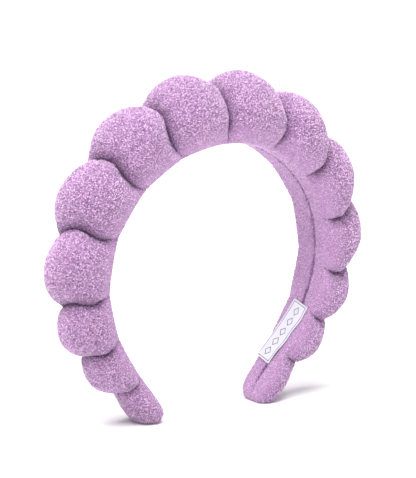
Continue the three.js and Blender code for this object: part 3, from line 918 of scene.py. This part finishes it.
stitch_objects = {}
tree_of_stitches = stitch_tree()
for puff in PUFFS:
    side, number = puff["side"], puff["number"]
    low, high = puff["low"], puff["high"]
    if is_tip(puff):
        low, high = max(low, SEAM_END - HALF_LENGTH), min(high, HALF_LENGTH - SEAM_END)
    half_step = STITCH_STEP / 2
    name = f"seam_stitches_{side}_{number}"
    values = {"Step": STITCH_STEP, "Width": STITCH_WIDTH, "Slant": STITCH_SLANT, "Lift": STITCH_LIFT}
    values |= {"Thread radius": STITCH_RADIUS, "Wander": STITCH_WANDER, "Stray": STITCH_STRAY}
    values["Seed"] = number * 2 + (side == "left")
    path = seam_path(name, low + half_step, high - half_step)
    stitch_objects[side, number] = run_tree(tree_of_stitches, path, values, name)
print("stitch faces:", sum(len(o.data.polygons) for o in stitch_objects.values()))

# %% [markdown]
# ## The threads in the creases
# Each crease is tied with a thread of two yarns twisted together. It lies over the stuffing in the
# bottom of the crease and passes under it, above the hoop. The ring is drawn as a line. Geometry
# Nodes give it a profile of two small circles and a tilt that grows along the line, which twists
# them into a rope.

# %% Tie the creases
THREAD_YARN = 0.14 * MM
THREAD_TURNS_PER_MM = 0.4
THREAD_LOW = 5.2 * MM
THREAD_POINTS = 160


def rope_tree():
    tree, given = geometry_tree("twisted thread", {"Yarn radius": 1.0, "Turns": 10})
    path = add_node(tree, "GeometryNodeMeshToCurve", {"Mesh": given["Geometry"]})
    place_in = add_node(tree, "GeometryNodeSplineParameter")
    full = add_node(tree, "ShaderNodeMath", {0: given["Turns"], 1: 2 * math.pi}, operation="MULTIPLY")
    tilt = {0: place_in.outputs["Factor"], 1: full.outputs[0]}
    angle = add_node(tree, "ShaderNodeMath", tilt, operation="MULTIPLY")
    twisted = add_node(tree, "GeometryNodeSetCurveTilt", {"Curve": path.outputs[0], "Tilt": angle.outputs[0]})
    profile = {"Resolution": 6, "Radius": given["Yarn radius"]}
    yarn = add_node(tree, "GeometryNodeCurvePrimitiveCircle", profile)
    both = add_node(tree, "GeometryNodeJoinGeometry")
    for sign in (-1.0, 1.0):
        aside = add_node(tree, "ShaderNodeMath", {0: given["Yarn radius"], 1: sign}, operation="MULTIPLY")
        offset = add_node(tree, "ShaderNodeCombineXYZ", {"X": aside.outputs[0], "Y": 0.0, "Z": 0.0})
        shift = {"Geometry": yarn.outputs[0], "Translation": offset.outputs[0]}
        moved = add_node(tree, "GeometryNodeTransform", shift)
        tree.links.new(moved.outputs[0], both.inputs[0])
    body = {"Curve": twisted.outputs[0], "Profile Curve": both.outputs[0]}
    end_tree(tree, add_node(tree, "GeometryNodeCurveToMesh", body).outputs[0], sewing_thread)
    return tree


def thread_ring(crease):
    """A closed line in the bottom of a crease, over the stuffing and back above the hoop."""
    inset = 2 * THREAD_YARN
    height = full_height(crease) * CREASE_HEIGHT_SHARE - inset
    width = full_width(crease) * CREASE_WIDTH_SHARE - 2 * inset
    half = half_section(height, width, min(face_width(crease), width))[FACE_END:]
    ring = np.concatenate([half, half[-2::-1] * [-1, 1]])
    across, out = ring[:, 0], np.maximum(ring[:, 1], THREAD_LOW)
    steps = np.hypot(np.diff(across, append=across[0]), np.diff(out, append=out[0]))
    lengths = np.append(0, np.cumsum(steps))
    even = np.linspace(0, lengths[-1], THREAD_POINTS, endpoint=False)
    across = np.interp(even, lengths, np.append(across, across[0]))
    out = np.interp(even, lengths, np.append(out, out[0]))
    return place(crease_line(crease, across, out), across, out), lengths[-1]


CREASES = {("crown", 0): 0.0}
for puff in PUFFS:
    if not is_tip(puff):
        outer = puff["high"] if puff["side"] == "right" else puff["low"]
        CREASES[puff["side"], puff["number"]] = outer
thread_objects = {}
tree_of_rope = rope_tree()
for (side, number), crease in CREASES.items():
    name = "crease_thread_crown" if side == "crown" else f"crease_thread_{side}_{number}"
    points, length = thread_ring(crease)
    ring_mesh = bpy.data.meshes.new(name)
    links = [(i, (i + 1) % len(points)) for i in range(len(points))]
    ring_mesh.from_pydata([tuple(p) for p in points], links, [])
    values = {"Yarn radius": THREAD_YARN, "Turns": round(length / MM * THREAD_TURNS_PER_MM)}
    thread_objects[side, number] = run_tree(tree_of_rope, ring_mesh, values, name)
print(len(thread_objects), "threads tied")

# %% [markdown]
# ## The woven tab
# A flat woven label, 12 by 34 mm, is sewn to the head side of the right leg, a little askew. It
# carries a thin border and a row of small diamonds. A sheet this thin is drawn as a grid of quads
# with a UV map in real lengths, and the Solidify modifier gives it its thickness. It follows the
# rounded edges of the face, and its front edge lifts a little between the stitches.

# %% Weave the tab
TAB_WIDTH, TAB_LENGTH = 12 * MM, 34 * MM
TAB_ALONG, TAB_ACROSS, TAB_TURNED = 142.3 * MM, 0.7 * MM, 0.2
TAB_THICKNESS = 0.3 * MM
TAB_COLUMNS, TAB_ROWS = 24, 68
TAB_CLEARANCE = 0.6 * MM
TAB_WAVE, TAB_WAVES = 0.14 * MM, 2.6
DIAMOND_STEP, DIAMOND_WIDTH, DIAMOND_HEIGHT = 6 * MM, 4 * MM, 4.4 * MM
DIAMOND_ROW = 15 * MM
BORDER_INSET, LINE_HALF, DIAMOND_LINE_HALF = 1.0 * MM, 0.16 * MM, 0.256 * MM
THREAD_SPACINGS = (("X", 0.45 * MM), ("Y", 0.6 * MM))
WAVE_RADIANS = 20  # how far a wave texture turns over one unit


def woven_finish():
    made, tree, surface = start_material("woven tab", 0.75, Sheen_Weight=0.15)
    grid = add_node(tree, "ShaderNodeUVMap", uv_map="flat").outputs[0]
    threads = []
    for direction, wave in THREAD_SPACINGS:
        turns = {"Vector": grid, "Scale": 2 * math.pi / (WAVE_RADIANS * wave)}
        threads.append(add_node(tree, "ShaderNodeTexWave", turns, bands_direction=direction).outputs["Fac"])
    weave = add_node(tree, "ShaderNodeMath", {0: threads[0], 1: threads[1]}, operation="MULTIPLY").outputs[0]
    axes = add_node(tree, "ShaderNodeSeparateXYZ", {"Vector": grid})
    nearness = []
    for axis, size in (("X", TAB_WIDTH), ("Y", TAB_LENGTH)):
        mirrored = add_node(tree, "ShaderNodeMath", {0: size, 1: axes.outputs[axis]}, operation="SUBTRACT")
        nearer = {0: axes.outputs[axis], 1: mirrored.outputs[0]}
        nearness.append(add_node(tree, "ShaderNodeMath", nearer, operation="MINIMUM").outputs[0])
    edge = add_node(tree, "ShaderNodeMath", {0: nearness[0], 1: nearness[1]}, operation="MINIMUM").outputs[0]
    lines = {0: edge, 1: BORDER_INSET, 2: LINE_HALF}
    border = add_node(tree, "ShaderNodeMath", lines, operation="COMPARE").outputs[0]
    from_middle = {}
    for axis, size in (("X", TAB_WIDTH), ("Y", TAB_LENGTH)):
        offset = {0: axes.outputs[axis], 1: size / 2}
        offset = add_node(tree, "ShaderNodeMath", offset, operation="SUBTRACT").outputs[0]
        distance = add_node(tree, "ShaderNodeMath", {0: offset}, operation="ABSOLUTE")
        from_middle[axis] = distance.outputs[0]
    step = {0: from_middle["Y"], 1: DIAMOND_STEP / 2}
    nearest = add_node(tree, "ShaderNodeMath", step, operation="PINGPONG").outputs[0]
    reach = {0: nearest, 1: DIAMOND_WIDTH / DIAMOND_HEIGHT, 2: from_middle["X"]}
    reach = add_node(tree, "ShaderNodeMath", reach, operation="MULTIPLY_ADD").outputs[0]
    outline = {0: reach, 1: DIAMOND_WIDTH / 2, 2: DIAMOND_LINE_HALF}
    outline = add_node(tree, "ShaderNodeMath", outline, operation="COMPARE").outputs[0]
    in_row = {0: from_middle["Y"], 1: DIAMOND_ROW}
    in_row = add_node(tree, "ShaderNodeMath", in_row, operation="LESS_THAN").outputs[0]
    diamonds = add_node(tree, "ShaderNodeMath", {0: outline, 1: in_row}, operation="MULTIPLY").outputs[0]
    drawn = add_node(tree, "ShaderNodeMath", {0: border, 1: diamonds}, operation="MAXIMUM").outputs[0]
    cloth = colour_mix(tree, weave, linear(204, 202, 214), linear(228, 226, 236))
    colour = colour_mix(tree, drawn, linear(240, 240, 240), linear(62, 58, 70))
    tree.links.new(cloth, colour.node.inputs[6])
    tree.links.new(colour, surface.inputs["Base Color"])
    bump(tree, surface, weave, 0.12 * MM)
    return made


def skin_out(along, across):
    """How far out the cloth lies on the head side and round its corners, bridging the sewn valley."""
    outline = half_section(full_height(along), full_width(along), face_width(along))
    outline = outline[len(SEAM_COLUMNS) - 1 : FACE_END + FLANK_COLUMNS + 1]
    return np.interp(abs(across), outline[:, 0], outline[:, 1])


def tab_points():
    """The tab's grid: a rectangle turned a little on the head side, its front edge waving."""
    shares = np.linspace(0, 1, TAB_ROWS + 1), np.linspace(0, 1, TAB_COLUMNS + 1)
    rows, columns = np.meshgrid(*shares, indexing="ij")
    down, aside = (rows - 0.5) * TAB_LENGTH, (columns - 0.5) * TAB_WIDTH
    along = TAB_ALONG + down * math.cos(TAB_TURNED) - aside * math.sin(TAB_TURNED)
    across = TAB_ACROSS + down * math.sin(TAB_TURNED) + aside * math.cos(TAB_TURNED)
    wave = np.sin(rows * TAB_WAVES * 2 * math.pi + 1) * (1 - columns) ** 2
    skin = np.vectorize(skin_out)(along, across)
    out = skin - TAB_CLEARANCE - TAB_WAVE * (1 + wave)
    return place(along, across + TAB_WAVE * wave, out).reshape(-1, 3)


def grid_faces(rows, columns):
    wide = columns + 1
    corners = [(r * wide + c, r * wide + c + 1) for r in range(rows) for c in range(columns)]
    return [(a, b, b + wide, a + wide) for a, b in corners]


woven_tab = woven_finish()
tab_sheet = mesh_object("tab_sheet", tab_points(), grid_faces(TAB_ROWS, TAB_COLUMNS))
flat_map = tab_sheet.data.uv_layers.new(name="flat")
for loop in tab_sheet.data.loops:
    row, column = divmod(loop.vertex_index, TAB_COLUMNS + 1)
    flat_map.data[loop.index].uv = (column / TAB_COLUMNS * TAB_WIDTH, row / TAB_ROWS * TAB_LENGTH)
thick = tab_sheet.modifiers.new("thickness", "SOLIDIFY")
thick.thickness = TAB_THICKNESS
thick.offset = 0
tab = plain_copy(tab_sheet, "tab")
tab.data.polygons.foreach_set("use_smooth", np.ones(len(tab.data.polygons), bool))
tab.data.set_sharp_from_angle(angle=CRISP_ANGLE)
tab.data.materials.append(woven_tab)
print("tab faces:", len(tab.data.polygons))

# %% [markdown]
# ## What follows what
# The hoop bends at four places on each side. The first two puffs are on the crown's own body, and the
# puffs of the legs are on theirs. A puff between two of them is one piece of cloth. Two points are
# worked out between which it would bend, from the body on its crown side to its own, but it is left
# in place on no body, with its pile and its stitches, and does not bend.

# %% Put most pieces on their bodies
FIRST_BENDING, LAST_BENDING = 2, 5


def body_of(side, number):
    if number <= 1:
        return "crown"
    return f"{side}_leg" if number >= LAST_BENDING else f"{side}_{number}"


def bend_range(puff):
    """Two points between which a puff would bend: past all of its near end, before all of its far end."""
    sign = 1 if puff["side"] == "right" else -1
    middle = (puff["low"] + puff["high"]) / 2
    centre = place(middle, 0.0, full_height(middle) / 2)
    along_here = place(middle + MM, 0.0, 0.0) - place(middle - MM, 0.0, 0.0)
    along_here = along_here / np.linalg.norm(along_here) * sign
    rings = puff_points(puff, 1.0)
    near, far = (rings[0], rings[-1]) if sign > 0 else (rings[-1], rings[0])
    start = ((near - centre) @ along_here).max()
    end = ((far - centre) @ along_here).min()
    if end - start < MM:
        middle_way = (start + end) / 2
        start, end = middle_way - MM / 2, middle_way + MM / 2
    return centre + along_here * start, centre + along_here * end


def put_on_body(piece, puff):
    side, number = puff["side"], puff["number"]
    if FIRST_BENDING <= number <= LAST_BENDING:
        start, end = bend_range(puff)
        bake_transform(piece)
    else:
        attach(piece, body_of(side, number))


for puff in PUFFS:
    side, number = puff["side"], puff["number"]
    cloth, pile, stitches = (made[side, number] for made in (puff_objects, pile_objects, stitch_objects))
    for piece in (cloth, pile, stitches):
        put_on_body(piece, puff)
    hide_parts(f"cover_{side}_{number}")

for (side, number), rope in thread_objects.items():
    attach(rope, body_of(side, number))
    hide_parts("cinch_thread_crown" if side == "crown" else f"cinch_thread_{side}_{number}")

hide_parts("seam_thread_crown")
for side in ("left", "right"):
    for number in (2, 3, 4):
        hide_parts(f"seam_thread_{side}_{number}")
    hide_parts(f"seam_thread_{side}_leg")

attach(tab, "right_leg")
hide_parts("woven_tab")

# %% [markdown]
# ## Floor, light and camera
# A soft light from above and to the left shapes the puffs, and a pale world fills their shadows. It
# is a sun with a wide spread, because an area lamp would leave the far floor grey. The floor is
# nearly white and runs out of sight.

# %% Set the stage
FLOOR_SIZE = 12.0
WORLD_LIGHT = 0.68
KEY_STRENGTH, KEY_SPREAD = 4.9, math.radians(50)
KEY_FROM = (-0.45, -0.2, 1.5)
CAMERA_AZIMUTH, CAMERA_ELEVATION, CAMERA_ROLL = -36.83, 13.17, 1.53
CAMERA_DISTANCE = 1.3368
CAMERA_LENS = 209.4
CAMERA_TARGET = Vector((0, 0, 0.07754))
CAMERA_AIM_ABOVE = 7.6 * MM


def floor_finish():
    made, tree, surface = start_material("pale floor", 0.9)
    grain = noise_on_object(tree, 0.05)
    colour = colour_mix(tree, grain, linear(246, 246, 247), linear(250, 250, 250))
    tree.links.new(colour, surface.inputs["Base Color"])
    return made


def point_at(thing, target):
    thing.rotation_euler = (target - thing.location).to_track_quat("-Z", "Y").to_euler()


half_floor = FLOOR_SIZE / 2
corner_signs = ((-1, -1), (1, -1), (1, 1), (-1, 1))
floor_corners = [(x * half_floor, y * half_floor, 0) for x, y in corner_signs]
floor = mesh_object("floor", floor_corners, [(0, 1, 2, 3)])
floor.data.materials.append(floor_finish())

world = bpy.data.worlds.new("studio")
world.use_nodes = True
world.node_tree.nodes["Background"].inputs["Color"].default_value = (1, 1, 1, 1)
world.node_tree.nodes["Background"].inputs["Strength"].default_value = WORLD_LIGHT
bpy.context.scene.world = world
bpy.context.scene.view_settings.view_transform = "Standard"

key = bpy.data.objects.new("key", bpy.data.lights.new("key", "SUN"))
key.data.energy = KEY_STRENGTH
key.data.angle = KEY_SPREAD
key.location = KEY_FROM
point_at(key, CAMERA_TARGET)
bpy.context.scene.collection.objects.link(key)

camera = bpy.data.objects.new("camera", bpy.data.cameras.new("camera"))
turned, raised = math.radians(CAMERA_AZIMUTH), math.radians(CAMERA_ELEVATION)
back = Vector((math.sin(turned) * math.cos(raised), -math.cos(turned) * math.cos(raised), math.sin(raised)))
upward = (Vector((0, 0, 1)) - back * back.z).normalized()
camera.location = CAMERA_TARGET + back * CAMERA_DISTANCE
look = CAMERA_TARGET + upward * CAMERA_AIM_ABOVE - camera.location
facing_scene = look.to_track_quat("-Z", "Y").to_matrix().to_4x4()
roll = Matrix.Rotation(math.radians(CAMERA_ROLL), 4, "Z")
camera.rotation_euler = (facing_scene @ roll).to_euler()
camera.data.lens = CAMERA_LENS
bpy.context.scene.collection.objects.link(camera)
bpy.context.scene.camera = camera
print("camera at", [round(c, 3) for c in camera.location])
